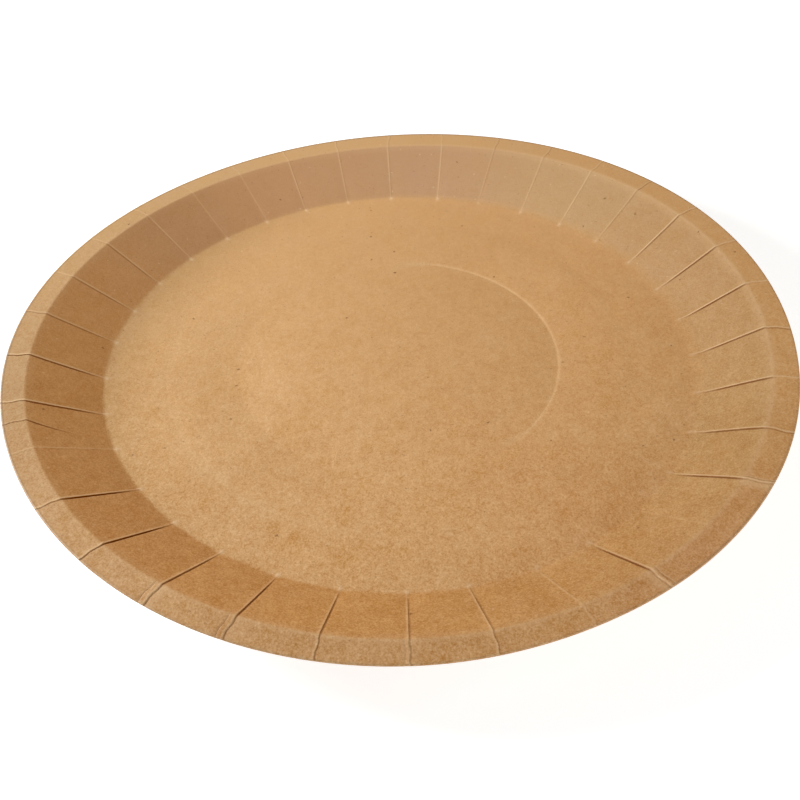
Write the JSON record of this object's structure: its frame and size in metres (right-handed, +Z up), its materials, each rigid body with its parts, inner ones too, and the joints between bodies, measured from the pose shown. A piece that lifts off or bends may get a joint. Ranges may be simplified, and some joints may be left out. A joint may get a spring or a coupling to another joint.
{
  "type": "paper plate",
  "caption": "Round kraft paper plate with a shallow dished floor, a pleated sloping wall and a narrow lip, for serving food.",
  "frame": {"origin": "centre of the flat disc under the floor, on the surface that the plate rests on", "axes": "+Z up, out of the plate's mouth; +X and +Y along the resting surface, with the picture taken from -Y"},
  "size_m": [0.23, 0.23, 0.0155],
  "materials": {
    "kraft_board": "matte"
  },
  "bodies": {
    "root": {"plate": "kraft_board"}
  },
  "joints": []
}
